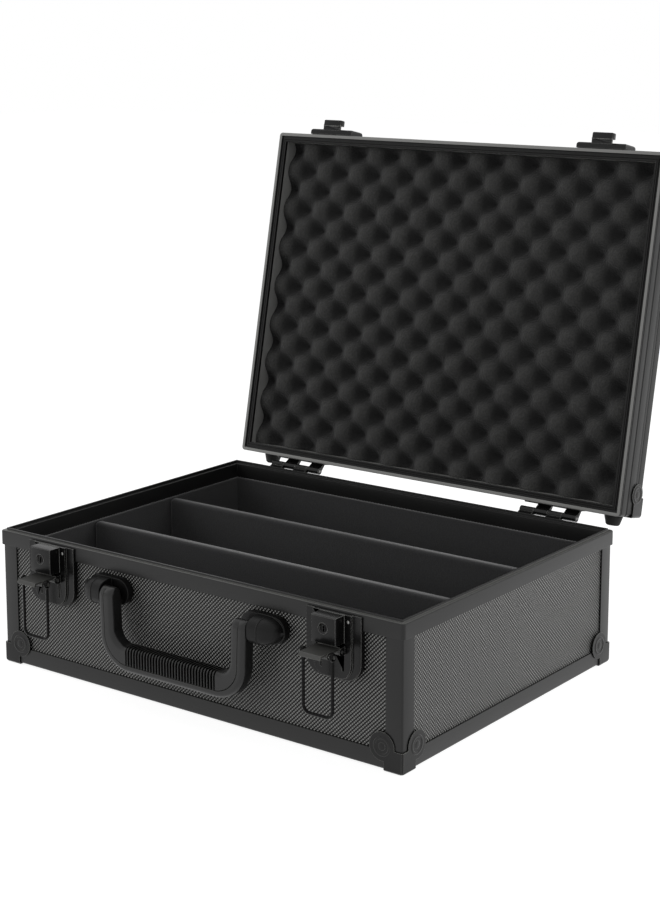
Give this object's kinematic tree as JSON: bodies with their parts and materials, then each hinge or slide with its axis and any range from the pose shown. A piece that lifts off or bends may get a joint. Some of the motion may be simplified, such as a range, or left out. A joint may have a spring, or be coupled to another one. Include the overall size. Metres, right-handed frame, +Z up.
{
  "type": "card storage case",
  "caption": "Hard-sided carrying case with a hinged lid, a folding front handle, draw latches with key locks, and divided channels for upright card holders.",
  "frame": {"origin": "middle of the lower case, on the surface that the bottom caps stand on", "axes": "+X to the right as seen from the front, +Y to the back where the hinges are, +Z up"},
  "size_m": [0.403, 0.4355, 0.4282],
  "materials": {
    "extrusion": "black anodised, satin",
    "panel": "fibreboard with an embossed black plastic skin",
    "cap": "black satin enamel on pressed steel",
    "fitting": "black plated steel, semi-gloss",
    "plastic": "moulded, satin",
    "rubber": "matte",
    "lining": "cloth over board",
    "foam": "open-cell foam"
  },
  "bodies": {
    "case": {"front_panel": "panel", "back_panel": "panel", "left_panel": "panel", "right_panel": "panel", "bottom_panel": "panel", "lower_rim": "extrusion", "corner_post_front_left": "extrusion", "corner_post_front_right": "extrusion", "corner_post_back_left": "extrusion", "corner_post_back_right": "extrusion", "bottom_edge_front": "extrusion", "bottom_edge_back": "extrusion", "bottom_edge_left": "extrusion", "bottom_edge_right": "extrusion", "bottom_corner_front_left": "cap", "bottom_corner_front_right": "cap", "bottom_corner_back_left": "cap", "bottom_corner_back_right": "cap", "wall_lining": "lining", "base_pad": "foam", "divider_front": "lining", "divider_back": "lining", "handle_bracket_left": "plastic", "handle_bracket_right": "plastic", "latch_base_left": "fitting", "latch_base_right": "fitting", "latch_pin_left": "fitting", "latch_pin_right": "fitting", "hinge_lower_leaf_left": "fitting", "hinge_lower_leaf_right": "fitting", "hinge_pin_left": "fitting", "hinge_pin_right": "fitting", "case_foot_left": "rubber", "case_foot_right": "rubber"},
    "lid": {"lid_panel": "panel", "lid_rim": "extrusion", "lid_edge": "extrusion", "lid_lining": "lining", "lid_foam": "foam", "lid_corner_front_left": "cap", "lid_corner_front_right": "cap", "lid_corner_back_left": "cap", "lid_corner_back_right": "cap", "striker_left": "fitting", "striker_right": "fitting", "hinge_upper_leaf_left": "fitting", "hinge_upper_leaf_right": "fitting", "lid_foot_left": "rubber", "lid_foot_right": "rubber"},
    "handle": {"handle": "plastic"},
    "lever_left": {"latch_lever_left": "fitting"},
    "lever_right": {"latch_lever_right": "fitting"},
    "bail_pin_left": {"bail_pin_left": "fitting"},
    "bail_pin_right": {"bail_pin_right": "fitting"},
    "bail_left": {"latch_bail_left": "fitting"},
    "bail_right": {"latch_bail_right": "fitting"},
    "lock_left": {"lock_cylinder_left": "fitting"},
    "lock_right": {"lock_cylinder_right": "fitting"}
  },
  "joints": [
    {"name": "lid_hinge", "type": "hinge", "parent": "case", "child": "lid", "pos_m": [0, 0.1575, 0.1133], "axis": [1, 0, 0], "range_deg": [0, 101.6]},
    {"name": "handle_pivot", "type": "hinge", "parent": "case", "child": "handle", "pos_m": [0, -0.163, 0.0855], "axis": [-1, 0, 0], "range_deg": [0, 90]},
    {"name": "lever_left_pivot", "type": "hinge", "parent": "case", "child": "lever_left", "pos_m": [-0.1405, -0.157, 0.084], "axis": [1, 0, 0], "range_deg": [0, 90]},
    {"name": "lever_right_pivot", "type": "hinge", "parent": "case", "child": "lever_right", "pos_m": [0.1405, -0.157, 0.084], "axis": [1, 0, 0], "range_deg": [0, 90]},
    {"name": "bail_pin_left_turn", "type": "hinge", "parent": "lever_left", "child": "bail_pin_left", "pos_m": [-0.1405, -0.17, 0.084], "axis": [1, 0, 0], "range_deg": [-90, 0]},
    {"name": "bail_pin_right_turn", "type": "hinge", "parent": "lever_right", "child": "bail_pin_right", "pos_m": [0.1405, -0.17, 0.084], "axis": [1, 0, 0], "range_deg": [-90, 0]},
    {"name": "bail_left_swing", "type": "hinge", "parent": "bail_pin_left", "child": "bail_left", "pos_m": [-0.1405, -0.17, 0.084], "axis": [-1, 0, 0], "range_deg": [0, 180]},
    {"name": "bail_right_swing", "type": "hinge", "parent": "bail_pin_right", "child": "bail_right", "pos_m": [0.1405, -0.17, 0.084], "axis": [-1, 0, 0], "range_deg": [0, 180]},
    {"name": "lock_left_turn", "type": "hinge", "parent": "case", "child": "lock_left", "pos_m": [-0.1405, -0.16, 0.101], "axis": [0, 1, 0], "range_deg": [0, 90]},
    {"name": "lock_right_turn", "type": "hinge", "parent": "case", "child": "lock_right", "pos_m": [0.1405, -0.16, 0.101], "axis": [0, 1, 0], "range_deg": [0, 90]}
  ],
  "couplings": [
    {"joint": "bail_pin_left_turn", "follows": "lever_left_pivot", "ratio": -1},
    {"joint": "bail_pin_right_turn", "follows": "lever_right_pivot", "ratio": -1}
  ]
}
